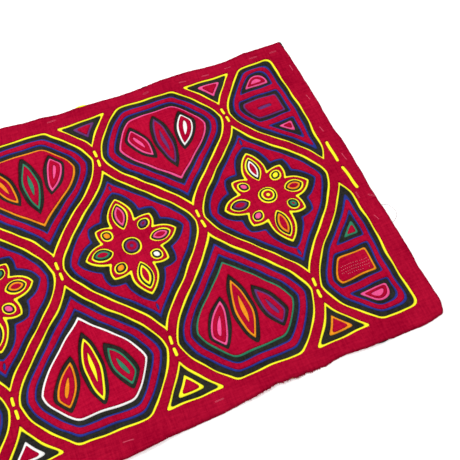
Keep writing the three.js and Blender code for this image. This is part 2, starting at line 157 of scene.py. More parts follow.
def edgeAt(table, at):
    along, out = np.array(table, float).T
    i = np.clip(np.searchsorted(along, at) - 1, 0, len(along) - 2)
    t = np.clip((at - along[i]) / (along[i + 1] - along[i]), 0, 1)
    return out[i] + (out[i + 1] - out[i]) * t * t * (3 - 2 * t)


def near(x, y, midX, midY, reach):      # 1 at a spot, and 0 from its reach on
    return np.clip(1 - ((x - midX) ** 2 + (y - midY) ** 2) / reach ** 2, 0, 1)


def panelDepth(x, y):
    upright = np.minimum(edgeAt(topEdge, x) - y, y - edgeAt(bottomEdge, x))
    level = np.minimum(edgeAt(rightEdge, y) - x, x - edgeAt(leftEdge, y))
    sharp = near(x, y, *edgeCorner["sharpAt"], edgeCorner["reach"])
    return softMin(upright, level, edgeCorner["round"] - edgeCorner["sharper"] * sharp)


def waved(x, y):
    return [start + sum(size * np.sin(x * perX + y * perY + phase) for size, perX, perY, phase in waves)
            for start, waves in ((x, waveX), (y, waveY))]


def cellDepth(x, y, cellX, cellY):
    bend = lattice["bend"]
    t = np.abs(y - cellY) / lattice["halfY"]
    inside = np.minimum(t, 1)
    width = bend * 0.5 * (1 + np.cos(np.pi * inside)) + (1 - bend) * (1 - inside)
    slope = -bend * 0.5 * np.pi * np.sin(np.pi * inside) - (1 - bend)
    slope = slope * lattice["halfX"] / lattice["halfY"]
    across = (lattice["halfX"] * width - np.abs(x - cellX)) / np.hypot(1, slope)
    return across - (t - inside) * lattice["halfY"]


def windowDepth(x, y, cellX, cellY):
    inField = softMin(field["halfX"] - np.abs(x), field["halfY"] - np.abs(y), field["corner"])
    return softMin(cellDepth(x, y, cellX, cellY) - lattice["ribbon"], inField, lattice["corner"])


def alongLine(x, y, across, up, turn):  # along and beside a line through a place, turn 0 is upright
    c, s = math.cos(math.radians(turn)), math.sin(math.radians(turn))
    return (x - across) * s + (y - up) * c, (x - across) * c - (y - up) * s


def leafDepth(x, y, leaf):      # the overlap of two discs
    *place, half, wide = leaf
    along, aside = alongLine(x, y, *place)
    radius = (half * half + wide * wide) / (2 * wide)
    return radius - np.hypot(np.abs(aside) + radius - wide, along)


def barDepth(x, y, bar):        # a straight bar with round ends
    *place, half, wide = bar
    along, aside = alongLine(x, y, *place)
    return wide - np.hypot(aside, np.maximum(np.abs(along) - half + wide, 0))


def leafOut(out, turn, half, wide):
    angle = math.radians(turn)
    return (out * math.sin(angle), out * math.cos(angle), turn, half, wide)


petalRows, petalWindows = [], []
for k in range(flower["petals"]):
    turn = 360 / flower["petals"] * k
    kind = "upright" if turn % 180 == 0 else "level" if turn % 90 == 0 else "slanted"
    half = (flower["reach"][kind] - flower["root"]) / 2
    wide = flower["slantedWide"] if kind == "slanted" else flower["straightWide"]
    out = flower["root"] + half
    petalRows.append(leafOut(out, turn, half, wide))
    petalWindows.append(leafOut(out + flower["windowOut"], turn, half - flower["windowShorter"],
                                wide - flower["windowNarrower"]))


def flowerDepth(x, y):
    depth = leafDepth(x, y, petalRows[0])
    for row in petalRows[1:]:
        depth = softMax(depth, leafDepth(x, y, row), flower["blend"])
    return softMax(depth, flower["middle"] - np.hypot(x, y), flower["middleBlend"])


def flowerMiddle(x, y):
    return flower["middleWindow"] - np.hypot(x, y)


def flowerOpenings(x, y):
    return np.maximum.reduce([flowerMiddle(x, y)] + [leafDepth(x, y, row) for row in petalWindows])


def fanLeaf(x, y, inward, leaf):
    return softMin(leafDepth(x, y, leaf), inward - fan["margin"], fan["blend"])


def cornerDepth(y, inward):
    bars = np.minimum.reduce([np.abs(y - bar) - cornerWindow["barHalf"] for bar in cornerWindow["bars"]])
    return softMin(inward - cornerWindow["margin"], bars, cornerWindow["blend"])


# How far a cut edge wanders by itself: mm, the run of a wave along x and y, and the share of each cloth
cutWander = {
    "size": 0.20, "runX": 5.9, "runY": 6.7, "turn": 1.7,
    "keyline": 2.2, "keylinePhase": 0.9, "scrap": 0.7, "scrapPhase": 1.9, "piecePhase": 2.3,
}


def handCut(x, y, phase):
    waveY = np.sin(y / cutWander["runY"] + cutWander["turn"] * phase)
    return cutWander["size"] * np.sin(x / cutWander["runX"] + phase) * waveY


def worked(depth, cellX, cellY, phase=0.0):
    # a depth in the window's own frame, with the hand-cut waves in it
    side = -1 if cellY < 0 else 1

    def inPanel(x, y):
        wavedX, wavedY = waved(x, y)
        inward = windowDepth(wavedX, wavedY, cellX, cellY)
        return depth(wavedX - cellX, (wavedY - cellY) * side, inward) + handCut(x, y, phase)
    return inPanel


# Scraps of cloth in the openings: mm inward from the opening's edge to the black scrap, to the
# coloured one and to the red core, half the width of the slit that shows the colour again, the
# least cloth that is worth a scrap or a slit, and how far to look round each opening for its edge
scraps = {
    "colours": ("orange", "pink", "white", "green", "purple", "yellow", "orange", "pink"),
    "onFlower": (("black", 1.1), ("colour", 2.6), ("core", 4.1)),
    "onGround": (("colour", 2.7), ("core", 4.2)),
    "slit": 1.5,
    "smallest": 0.8,
    "slitRoom": 1.7,
    "lookRound": {"petal": 17, "middle": 12, "leaf": 36, "bay": 64},
}
dotted = {
    "window": "corner_lower_right", "bay": 1, "rows": 2.6, "apart": 1.9, "long": 0.6, "margin": 1.6,
    "band": 4.5, "bandUp": 4, "left": -48, "right": 10, "upDown": 34,
}
scrapLayers = {
    ("onFlower", "black"): {"under": 1.34, "thick": 0.24, "ridge": 0.0},
    ("onFlower", "colour"): {"under": 1.60, "thick": 0.26, "ridge": 0.05},
    ("onFlower", "core"): {"under": 1.94, "thick": 0.24, "ridge": 0.05},
    ("onGround", "colour"): {"under": 0.84, "thick": 0.40, "ridge": 0.07},
    ("onGround", "core"): {"under": 1.34, "thick": 0.46, "ridge": 0.14},
}

# Small bars cut in the red ribbons, where two of them run together:
# across, up, turn, half-length, half-width
slit = {"half": 4.0, "wide": 1.15, "apart": 5.3}
slitRows = [(197.0, 18.5, 2, 12.0, 1.4), (197.6, -12.5, -3, 13.0, 1.35), (-196.5, 6.0, -2, 13.0, 1.4)]
for k in (-1, 1):
    slitRows += [(x, k * slit["apart"], 0, slit["half"], slit["wide"]) for x in (-62, 62)]
    slitRows += [(x, y + k * slit["apart"], 0, slit["half"], slit["wide"])
                 for x in (-124, 0, 124) for y in (-95, 95)]

blueSlits = [(0.0, 60.5, 0, 3.6, 1.10), (0.0, -60.5, 0, 3.6, 1.10)]     # in each flower's red surround

# Places where an under layer peeks out of the turned hem: x, y, reach, how far out
peeks = {
    "yellow": [(4, 155.4, 9, 1.5), (-118, 158.2, 6, 0.9), (72, -155.2, 7, 0.8)],
    "ground": [(210.0, 156.5, 3.4, 1.45), (210.8, 151.0, 5.0, 1.3), (66, 156.2, 6, 1.2),
               (173, 156.4, 3, 1.2), (-206, -157, 7, 1.3), (150, -157.0, 8, 1.0)],
}


def peekAt(x, y, names):
    return sum(out * near(x, y, px, py, reach) for name in names for px, py, reach, out in peeks[name])


def hemWander(x, y):            # the turned hem is never quite straight
    return (0.24 * np.sin(x / 6.1 + y / 4.7 + 1.2) * np.sin(x / 17.0 - y / 13.0 + 0.4)
            + 0.07 * np.sin(x / 1.9 - y / 2.1) + 0.06 * np.sin(x / 0.93 + y / 1.13 + 0.6))


# Where the hem was left raw: middle, reach, how rough
rawEdges = [((70, -156), 46, 2.4), ((-150, -160), 30, 1.8), ((66, 157), 14, 1.6), ((173, 157), 7, 1.5)]

# How far each cloth is set back from the panel's outline, mm, and how far a peek moves it
outlineOf = {"groundBack": 1.5, "yellowBack": 1.4, "peekOut": 1.7, "topGivesWay": 0.35}


def roughness(x, y):            # 1 on a turned hem, more where it was left raw
    return 1 + sum(rough * near(x, y, *middle, reach) for middle, reach, rough in rawEdges)


def groundOutline(x, y):
    peek = outlineOf["peekOut"] * peekAt(x, y, ("ground", "yellow"))
    return panelDepth(x, y) - outlineOf["groundBack"] + peek


def yellowOutline(x, y):
    return panelDepth(x, y) - outlineOf["yellowBack"] + outlineOf["peekOut"] * peekAt(x, y, ("yellow",))


def topOutline(x, y):
    wander = hemWander(x, y) * roughness(x, y)
    return panelDepth(x, y) + wander - outlineOf["topGivesWay"] * peekAt(x, y, ("ground", "yellow"))


def openingDepth(x, y):
    wavedX, wavedY = waved(x, y)
    return np.maximum.reduce([windowDepth(wavedX, wavedY, row[2], row[3]) for row in windows])


def slitDepth(x, y):
    wavedX, wavedY = waved(x, y)
    return np.maximum.reduce([barDepth(wavedX, wavedY, row) for row in slitRows])


# Height of the whole panel: border lifts, and the soft unevenness of quilted layers
def liftAt(x, y):
    lift = 0 * x
    for midX, midY, spanX, spanY, height in ripples:
        across = np.clip(1 - ((x - midX) / spanX) ** 2, 0, 1)
        along = np.clip(1 - ((y - midY) / spanY) ** 2, 0, 1)
        lift = lift + height * (across * along) ** 2
    return lift


# The soft height of the layers, mm: everywhere, in broad swells, in fine ones, and in the border's puckers
puff = {"all": 0.15, "broad": 0.07, "fine": 0.035, "pucker": 0.10}


def puffAt(x, y):
    border = np.clip((np.maximum(np.abs(x) - field["halfX"], np.abs(y) - field["halfY"]) + 4) / 6, 0, 1)
    pucker = np.sin(x / 4.9 + 1.7 * np.sin(y / 9.1)) * np.sin(y / 5.3 + 1.9 * np.sin(x / 11.3) + 0.8)
    broad = np.sin(x / 13.7 + 1.1 * np.sin(y / 21.3)) * np.sin(y / 11.9 + 0.8 * np.sin(x / 17.7) + 0.5)
    fine = np.sin(x / 3.9 + 1.3 * np.sin(y / 7.3 + 0.4)) * np.sin(y / 4.3 + 1.1 * np.sin(x / 8.1))
    return puff["all"] + puff["broad"] * broad + puff["fine"] * fine + puff["pucker"] * border * pucker


def riseAt(points):
    return liftAt(*points.T) + puffAt(*points.T)


print("design ready:", len(windows), "windows,", len(slitRows), "slits")


# Outlines: marching squares, an even spacing, and a nudge onto the exact edge
def gradient(depth, x, y, reach=0.05):
    slopeX = (depth(x + reach, y) - depth(x - reach, y)) / (2 * reach)
    slopeY = (depth(x, y + reach) - depth(x, y - reach)) / (2 * reach)
    return slopeX, slopeY


def crossings(value, xs, ys, level):
    # each crossed square gives one or two links, with the inside on the left
    v = value - level
    inside = v > 0
    corners = [(0, 0), (1, 0), (1, 1), (0, 1)]
    rows, cols = v.shape
    code = sum(inside[dy:rows - 1 + dy, dx:cols - 1 + dx] * (1 << k) for k, (dx, dy) in enumerate(corners))
    links, points = {}, {}

    def point(j0, i0, j1, i1):
        key = (min(j0, j1), min(i0, i1), j0 == j1)
        if key not in points:
            t = v[j0, i0] / (v[j0, i0] - v[j1, i1])
            points[key] = (xs[i0] + t * (xs[i1] - xs[i0]), ys[j0] + t * (ys[j1] - ys[j0]))
        return key

    for j, i in zip(*np.nonzero((code > 0) & (code < 15))):
        places = [(j + dy, i + dx) for dx, dy in corners]
        state = [inside[p] for p in places]
        leaves = [k for k in range(4) if state[k] and not state[(k + 1) % 4]]
        enters = [k for k in range(4) if not state[k] and state[(k + 1) % 4]]
        joined = sum(v[p] for p in places) > 0
        for k in leaves:
            if len(enters) == 1:
                e = enters[0]
            else:
                e = (k + (1 if joined else 3)) % 4
            links[point(*places[k], *places[(k + 1) % 4])] = point(*places[e], *places[(e + 1) % 4])
    return links, points


def evenly(loop, spacing, fewest=10):
    ring = np.vstack([loop, loop[:1]])
    steps = np.hypot(*np.diff(ring, axis=0).T)
    run = np.concatenate([[0], np.cumsum(steps)])
    count = max(fewest, int(round(run[-1] / spacing)))
    at = np.linspace(0, run[-1], count, endpoint=False)
    return np.column_stack([np.interp(at, run, ring[:, 0]), np.interp(at, run, ring[:, 1])])


def outlines(depth, box, pitch, spacing, level=0.0, shortest=2.5):
    low, high = box
    xs = np.arange(low[0], high[0] + pitch, pitch)
    ys = np.arange(low[1], high[1] + pitch, pitch)
    gridX, gridY = np.meshgrid(xs, ys)
    links, points = crossings(depth(gridX, gridY), xs, ys, level)
    loops = []
    while links:
        key = next(iter(links))
        loop = []
        while key in links:
            loop.append(points[key])
            key = links.pop(key)
        loop = np.array(loop)
        if np.hypot(*np.diff(loop, axis=0).T).sum() < shortest:
            continue
        loop = evenly(loop, spacing)
        for _ in range(2):
            off = depth(loop[:, 0], loop[:, 1]) - level
            slopeX, slopeY = gradient(depth, loop[:, 0], loop[:, 1])
            size = np.maximum(slopeX ** 2 + slopeY ** 2, 0.2)
            loop = loop - np.column_stack([slopeX * off / size, slopeY * off / size])
        loops.append(loop)
    return loops


speck = 0.1                     # square mm: less than this is a sliver outside a sharp corner, not cloth


def triangulated(points, loops, depth):
    # constrained triangles over the points, kept where the cloth is
    edges, start = [], 0
    for loop in loops:
        n = len(loop)
        edges += [(start + k, start + (k + 1) % n) for k in range(n)]
        start += n
    verts, newEdges, faces, fromPoint, fromEdge, _ = delaunay_2d_cdt(
        [Vector(p) for p in points], edges, [], 0, 1e-5)
    verts = np.array([tuple(v) for v in verts])
    onEdge = {min(given): index for index, given in enumerate(fromPoint) if given and min(given) < start}
    faces = np.array([f for f in faces if len(f) == 3])
    fence = {tuple(sorted(e)) for e, origin in zip(newEdges, fromEdge) if origin}
    crossed = sorted({index for side in fence for index in side if not fromPoint[index]})
    onEdge.update({tuple(verts[index].round(3).tolist()): index for index in crossed})
    neighbours = {}
    for index, f in enumerate(faces.tolist()):
        for a, b in ((f[0], f[1]), (f[1], f[2]), (f[2], f[0])):
            neighbours.setdefault((a, b) if a < b else (b, a), []).append(index)
    touching = [[] for _ in range(len(faces))]
    for edge, owners in neighbours.items():
        if len(owners) == 2 and edge not in fence:
            touching[owners[0]].append(owners[1])
            touching[owners[1]].append(owners[0])
    a, b, c = verts[faces[:, 0]], verts[faces[:, 1]], verts[faces[:, 2]]
    middle = (a + b + c) / 3
    area = ((b[:, 0] - a[:, 0]) * (c[:, 1] - a[:, 1]) - (b[:, 1] - a[:, 1]) * (c[:, 0] - a[:, 0])) / 2
    vote = np.sign(depth(middle[:, 0], middle[:, 1])) * np.abs(area)
    region = np.full(len(faces), -1)
    keep = np.zeros(len(faces), bool)
    for seed in range(len(faces)):
        if region[seed] >= 0:
            continue
        region[seed] = seed
        group = [seed]
        for index in group:
            for other in touching[index]:
                if region[other] < 0:
                    region[other] = seed
                    group.append(other)
        keep[group] = vote[group].sum() > speck
    faces[area < 0] = faces[area < 0][:, ::-1]
    return verts, faces[keep], onEdge


def acrossNecks(points, faces, onEdge):
    # the middle of each line from cut edge to cut edge: a point there keeps a neck's two faces apart
    sides = np.sort(faces[:, [0, 1, 1, 2, 2, 0]].reshape(-1, 2), axis=1)
    sides, owners = np.unique(sides, axis=0, return_counts=True)
    rimmed = np.isin(sides, list(onEdge.values())).all(axis=1)
    return points[sides[rimmed & (owners == 2)]].mean(axis=1)


cutRoll = 0.6                           # mm over which a cut edge rolls over
cutBead = {"in": 0.85, "wide": 0.75}    # the ridge along it: how far in, how wide


def rolled(depth, reach):       # the round of a turned edge, 0 at the edge and 1 from reach on
    return np.sqrt(np.clip(1 - (1 - np.clip(depth / reach, 0, 1)) ** 2, 0, 1))


def cutTop(layer, depth):       # the top of a cloth near a turned edge
    roll = rolled(depth, cutRoll)
    bead = layer["ridge"] * np.exp(-((depth - cutBead["in"]) / cutBead["wide"]) ** 2) * roll
    return layer["under"] + 0.04 + (layer["thick"] - 0.04) * roll + bead


def staggered(box, apart, rows):        # a grid over the box, every second row half a step along
    low, high = box
    gridX, gridY = np.meshgrid(np.arange(low[0], high[0], apart), np.arange(low[1], high[1], rows))
    return gridX + (np.arange(gridX.shape[0]) % 2)[:, None] * apart / 2, gridY


# A cut cloth: a closed sheet whose top rolls over at every turned edge
def cutSheet(depth, box, layer, spacing=1.15, pitch=0.8, rings=(0.28, 0.7, 1.5), grid=4.0,
             topZ=None, underZ=None, extra=None):
    topZ = topZ or (lambda x, y: cutTop(layer, depth(x, y)))
    underZ = underZ or (lambda x, y: layer["under"] + 0 * x)
    loops = outlines(depth, box, pitch, spacing)
    edge = np.vstack(loops)
    inner = [edge]
    for k, level in enumerate(rings):
        inner += outlines(depth, box, pitch, spacing * (1 + 0.25 * k), level)
    if extra is not None:
        inner.append(extra)
    gridX, gridY = staggered(box, grid, grid)
    lots = np.column_stack([gridX.ravel(), gridY.ravel()])
    lots = lots[depth(lots[:, 0], lots[:, 1]) > rings[-1] + grid * 0.35]
    spots = np.vstack(inner + [lots])
    top, topFaces, topEdge = triangulated(spots, loops, depth)
    for _ in range(4):          # until no face on top has only edge points, as the one under it does
        if not np.isin(topFaces, list(topEdge.values())).all(axis=1).any():
            break
        spots = np.vstack([spots, acrossNecks(top, topFaces, topEdge)])
        top, topFaces, topEdge = triangulated(spots, loops, depth)
    sparse = lots[::3] if len(lots) > 60 else lots[:0]
    if extra is not None:
        sparse = np.vstack([sparse, extra])
    low, lowFaces, lowEdge = triangulated(np.vstack([edge, sparse]), loops, depth)
    topPoints = np.column_stack([top, topZ(*top.T) + riseAt(top)])
    lowPoints = np.column_stack([low, underZ(*low.T) + riseAt(low)])
    # one closed mesh of the two faces: they share the points on the cut edge
    renumber = np.arange(len(lowPoints)) + len(topPoints)
    for given, index in lowEdge.items():
        renumber[index] = topEdge.get(given, renumber[index])
    points = np.vstack([topPoints, lowPoints])
    used, faces = np.unique(np.vstack([topFaces, renumber[lowFaces][:, ::-1]]), return_inverse=True)
    return points[used], faces.reshape(-1, 3)


def joined(parts):
    points, faces, count = [], [], 0
    for p, f in parts:
        points.append(p)
        faces.append(f + count)
        count += len(p)
    return np.vstack(points), np.vstack(faces)


panelMiddle = np.zeros(2)       # set once the outline is known


def meshObject(name, points, faces, material, crease=62, paintedEdgeShade=None):
    points = (points - np.append(panelMiddle, 0)) * mm
    mesh = bpy.data.meshes.new(name)
    mesh.vertices.add(len(points))
    mesh.vertices.foreach_set("co", points.astype(np.float32).ravel())
    mesh.loops.add(faces.size)
    mesh.loops.foreach_set("vertex_index", faces.astype(np.int32).ravel())
    mesh.polygons.add(len(faces))
    mesh.polygons.foreach_set("loop_start", np.arange(0, faces.size, faces.shape[1], dtype=np.int32))
    # the shade painted along turned edges goes to the material as a point attribute
    if paintedEdgeShade is not None:
        mesh.attributes.new("paintedEdgeShade", "FLOAT", "POINT").data.foreach_set("value", paintedEdgeShade.astype(np.float32))
    mesh.update(calc_edges=True)
    mesh.validate()
    mesh.shade_smooth()
    mesh.set_sharp_from_angle(angle=math.radians(crease))
    mesh.materials.append(material)
    piece = linked(name, mesh)
    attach(piece, "root")
    return piece


# Plain-woven cotton: threads over and under, slubs, soft mottling, a little sheen, and shade painted along
# its turned edges
cotton = {
    "threadPitch": 0.42,   # mm from thread to thread
    "weaveDepth": 0.05,
    "slubDepth": 0.05,
    "mottle": 0.17,        # how much the dye varies
    "roughness": 0.82,
    "sheen": 0.16,
    "paintedShadeStrength": 0.45,     # how much darker the colour is painted along a turned edge: painted shade
    "darker": 1.9,         # how far the mottling goes below the dye, and above it
    "lighter": 1.3,
    "patches": 0.55,       # shares of the tone: small patches, broad ones, slubs, streaks, threads
    "clouds": 0.45,
    "slubs": 0.35,
    "streaks": 0.45,
    "threads": 0.10,
}
dyes = {
    "red": {"slot": "red_cotton", "colour": (0.372, 0.0001, 0.0235), "turn": 2,
            "shine": 0.004, "glow": 0.0},
    "innerRed": {"slot": "red_fill_cotton", "colour": (0.424, 0.0002, 0.0270), "turn": -3,
                 "shine": 0.004, "glow": 0.0},
    "black": {"slot": "black_cotton", "colour": (0.0160, 0.0158, 0.0118), "turn": 1, "mottle": 2.4},
    "yellow": {"slot": "yellow_cotton", "colour": (1.0, 0.95, 0.020), "turn": 4, "mottle": 0.2},
    "blue": {"slot": "blue_cotton", "colour": (0.0165, 0.0330, 0.262), "turn": -2},
    "green": {"slot": "green_cotton", "colour": (0.0250, 0.218, 0.116), "turn": 7},
    "orange": {"slot": "orange_cotton", "colour": (0.960, 0.300, 0.006), "turn": -6},
    "pink": {"slot": "pink_cotton", "colour": (0.960, 0.092, 0.300), "turn": 5},
    "purple": {"slot": "purple_cotton", "colour": (0.122, 0.0295, 0.164), "turn": -8},
    "white": {"slot": "white_cotton", "colour": (0.930, 0.930, 0.900), "turn": 3, "mottle": 0.4},
}


class nodeMaker:                # builds a material's nodes and links
    def __init__(self, name):
        self.material = bpy.data.materials.new(name)
        self.material.use_nodes = True
        self.tree = self.material.node_tree
        self.shader = self.tree.nodes["Principled BSDF"]

    def put(self, node, inputs):
        for key, value in inputs.items():
            if isinstance(value, bpy.types.NodeSocket):
                self.tree.links.new(value, node.inputs[key])
            else:
                node.inputs[key].default_value = value

    def add(self, kind, inputs=None, **settings):
        node = self.tree.nodes.new("ShaderNode" + kind)
        for key, value in settings.items():
            setattr(node, key, value)
        self.put(node, inputs or {})
        return node

    def noise(self, place, scale, detail=2.0, rough=0.5):
        inputs = {"Vector": place, "Scale": scale, "Detail": detail, "Roughness": rough}
        return self.add("TexNoise", inputs).outputs["Fac"]

    def bump(self, height, strength, distance, on=None):
        inputs = {"Height": height, "Strength": strength, "Distance": distance * mm}
        if on is not None:
            inputs["Normal"] = on
        return self.add("Bump", inputs).outputs["Normal"]

    def maths(self, operation, a, b=0.0):
        return self.add("Math", {0: a, 1: b}, operation=operation).outputs[0]


def cottonMaterial(name, look):
    make = nodeMaker(name)
    colour, turn = look["colour"], math.radians(look["turn"])
    place = make.add("TexCoord").outputs["Object"]
    turned = make.add("Mapping", {"Vector": place, "Rotation": (0, 0, turn)}).outputs["Vector"]
    wander = make.noise(turned, 90.0)
    axes = make.add("SeparateXYZ", {"Vector": turned})
    beat = 2 * math.pi / (cotton["threadPitch"] * mm * 2)
    drift = make.maths("MULTIPLY", wander, 5.0)
    beats = [make.maths("MULTIPLY", axes.outputs[way], beat) for way in "XY"]
    warp, weft = [make.maths("SINE", make.maths("ADD", steady, drift)) for steady in beats]
    weave = make.maths("MULTIPLY", warp, weft)

    def drawnOut(long, short, detail):      # noise drawn out along the threads, both ways
        ways = [make.add("Mapping", {"Vector": turned, "Scale": scale}).outputs["Vector"]
                for scale in ((long, short, short), (short, long, short))]
        return make.maths("ADD", *[make.noise(way, 1.0, detail) for way in ways])

    slubs, streaks = drawnOut(2600.0, 90.0, 1.0), drawnOut(620.0, 55.0, 2.0)
    mottle = make.noise(place, 420.0, 4.0, 0.6)
    broad = make.noise(place, 28.0)
    tone = make.maths("ADD", make.maths("MULTIPLY", mottle, cotton["patches"]),
                      make.maths("MULTIPLY", broad, cotton["clouds"]))
    for part, share in ((slubs, "slubs"), (streaks, "streaks")):
        part = make.maths("SUBTRACT", part, 1.0)
        tone = make.maths("ADD", tone, make.maths("MULTIPLY", part, cotton[share]))
    tone = make.maths("ADD", tone, make.maths("MULTIPLY", weave, cotton["threads"]))
    ramp = make.add("ValToRGB", {"Fac": tone})
    depth = cotton["mottle"] * look.get("mottle", 1.0)
    dark = tuple(c * (1 - cotton["darker"] * depth) for c in colour)
    light = tuple(min(c * (1 + cotton["lighter"] * depth) + 0.006, 1.0) for c in colour)
    for end, (position, dye) in zip(ramp.color_ramp.elements, ((0.22, dark), (0.82, light))):
        end.position = position
        end.color = (*dye, 1)
    # painted shade: the colour is darkened along turned edges and the panel's rim, where shade falls
    paintedShadeMask = make.add("Attribute", attribute_name="paintedEdgeShade").outputs["Fac"]
    paintedShadeFactor = make.maths("SUBTRACT", 1.0, make.maths("MULTIPLY", paintedShadeMask, cotton["paintedShadeStrength"]))
    shaded = make.add("Mix", {"Factor": 1.0, 6: ramp.outputs["Color"], 7: paintedShadeFactor},
                      data_type="RGBA", blend_type="MULTIPLY")
    threads = make.bump(weave, 0.55, cotton["weaveDepth"])
    uneven = make.bump(slubs, 0.6, cotton["slubDepth"], threads)
    make.put(make.shader, {
        "Base Color": shaded.outputs[2],
        "Roughness": make.maths("ADD", make.maths("MULTIPLY", tone, 0.12), cotton["roughness"] - 0.06),
        "Specular IOR Level": look.get("shine", 0.12),
        "Sheen Weight": cotton["sheen"],
        "Sheen Roughness": 0.45,
        "Sheen Tint": (*[min(1.0, look.get("glow", 0.04) + 1.2 * c) for c in colour], 1),
        "Normal": make.bump(mottle, 0.5, 0.22, uneven),
    })
    return make.material


clothLooks = {name: cottonMaterial(name + "Cotton", look) for name, look in dyes.items()}
print("cotton dyed in", len(clothLooks), "colours")


laid = []                       # every cloth: the piece, its flat size, its cut area, what it lies on
# of its rectangle, the least that a sheet's cut area may be
leastShare = 0.3                # share of its rectangle: a cloth cut to less than this goes on the sewn-on list


# How dark the painted shade along a turned edge gets, and over how many mm; the panel's own rim is broader
paintedShadeAmounts = {"reach": 0.34, "cloth": 0.75, "rim": 0.85, "rimReach": 1.6}


def paintedShadeAt(depth, points):      # painted shade: 1 on a turned edge, 0 away from it
    return np.exp(-(depth(points[:, 0], points[:, 1]) / paintedShadeAmounts["reach"]) ** 2)


def layCloth(name, sheet, dye, nodes, rests, paintedEdgeShade, turned=0.0):
    # a piece of cloth lies flat: its cut area is what it covers, with what is turned under it; its colour
    # gets painted shade along its edges
    points, faces = sheet
    piece = meshObject(name, points, faces, clothLooks[dye], paintedEdgeShade=paintedEdgeShade)
    if nodes:
        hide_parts(*nodes)
    a, b, c = points[faces[:, 0]], points[faces[:, 1]], points[faces[:, 2]]
    turns = (b[:, 0] - a[:, 0]) * (c[:, 1] - a[:, 1]) - (b[:, 1] - a[:, 1]) * (c[:, 0] - a[:, 0])
    area = float(turns[turns > 0].sum() / 2) * mm * mm
    size = (points.max(0) - points.min(0) + 2 * turned) * mm
    laid.append((piece, (float(size[0]), float(size[1])), area, rests))
    return piece


# The three whole cloths
wholeBox = ((-216.0, -167.0), (216.0, 167.0))
middleOf = np.vstack(outlines(panelDepth, wholeBox, 1.5, 1.5))
panelMiddle = (middleOf.min(0) + middleOf.max(0)) / 2
camera.location = Vector([(p - m) * mm for p, m in zip(view["place"], (*panelMiddle, 0))])

# The hem: mm turned under, its thickness, how uneven, how far its fold is set in, and the red cloth's
# rolled rim: how far it reaches, how low it hangs, and how much a peek lifts it
hem = {"turned": 6.5, "thick": 0.28, "uneven": 0.6, "tuck": 0.12}
hemRim = {"roll": 1.3, "underRoll": 1.1, "hangs": 0.12, "underHangs": 0.10, "peekLift": 1.2, "bead": 0.20,
          "groove": 0.26, "ends": 8}


def groundTop(x, y):
    d = groundOutline(x, y)
    return cloths["ground"]["thick"] - 0.3 * (1 - np.clip(d / 0.8, 0, 1)) ** 2


def groundUnder(x, y):          # rides over the hem turned under it, and rests flat inside
    t = np.clip((panelDepth(x, y) - hem["turned"] - 0.5) / 6.0, 0, 1)
    flat = 1 - t * t * (3 - 2 * t)
    return (hem["thick"] + 0.03) * flat - puffAt(x, y)


def hemDepth(x, y):             # the red cloth turned under, with its raw edge on the back
    out = topOutline(x, y)
    wide = hem["turned"] + hem["uneven"] * np.sin(x / 9.3 + 0.7) * np.sin(y / 8.1)
    return np.minimum(out - hem["tuck"], wide - out)


def hemTop(x, y):
    return hem["thick"] * np.clip(0.2 + 2 * hemDepth(x, y), 0.2, 1) - puffAt(x, y)


def rimLift(x, y):              # where an under layer peeks out, the rim stands higher
    return hemRim["peekLift"] * np.clip(2.2 * peekAt(x, y, ("ground", "yellow")), 0, 1)


def redDepth(x, y):
    return np.minimum.reduce([topOutline(x, y), -openingDepth(x, y), -slitDepth(x, y)])


def redTop(x, y):
    layer = cloths["top"]
    out = topOutline(x, y)
    cut = np.minimum(-openingDepth(x, y), -slitDepth(x, y))
    rollOut = rolled(out, hemRim["roll"])
    hangs = hemRim["hangs"] + rimLift(x, y)
    groove = hemRim["groove"] * np.exp(-((out - 2.9) / 0.55) ** 2)
    hemBead = hemRim["bead"] * np.exp(-((out - 1.4) / 0.9) ** 2) - groove
    flat = layer["under"] + layer["thick"]
    outer = hangs + (flat - hangs) * rollOut + hemBead * rollOut
    return np.where(out < cut, np.where(out < hemRim["ends"], outer, flat), cutTop(layer, cut))


def redUnder(x, y):
    out = topOutline(x, y)
    hangs = hemRim["underHangs"] + rimLift(x, y)
    return hangs + (cloths["top"]["under"] - hangs) * rolled(out, hemRim["underRoll"])


backRings = np.vstack([ring for level in (5.2, 7.2, 10.0, 13.0)
                       for ring in outlines(panelDepth, wholeBox, 1.2, 2.0, level)])
groundSheet = cutSheet(groundOutline, wholeBox, cloths["ground"], spacing=1.6, pitch=1.2, rings=(0.5, 1.4),
                       topZ=groundTop, underZ=groundUnder, extra=backRings)
# each whole cloth gets shade painted along its cut edges
groundCloth = layCloth("ground_black_cloth", groundSheet, "black", ["ground_cloth"], [],
                       paintedShadeAt(groundOutline, groundSheet[0]))
print("ground cloth:", len(groundCloth.data.polygons), "faces")


def yellowDepth(x, y):
    uneven = cutWander["keyline"] * handCut(x, y, cutWander["keylinePhase"])
    shows = step["yellow"] - openingDepth(x, y) + uneven
    return np.minimum(yellowOutline(x, y), shows)


yellowSheet = cutSheet(yellowDepth, wholeBox, cloths["keyline"], spacing=1.3, rings=(0.28, 0.7), grid=6.0)
yellowCloth = layCloth("yellow_second_cloth", yellowSheet, "yellow", ["yellow_cloth"],
                       ["ground_black_cloth"], paintedShadeAt(yellowDepth, yellowSheet[0]))
print("yellow cloth:", len(yellowCloth.data.polygons), "faces")

hemRings = [ring for level in (0.15, 0.5, 0.9, 2.3, 2.9, 3.5)
            for ring in outlines(topOutline, wholeBox, 1.2, 1.5, level)]
topSheet = cutSheet(redDepth, wholeBox, cloths["top"], grid=3.5, topZ=redTop, underZ=redUnder,
                    extra=np.vstack(hemRings))
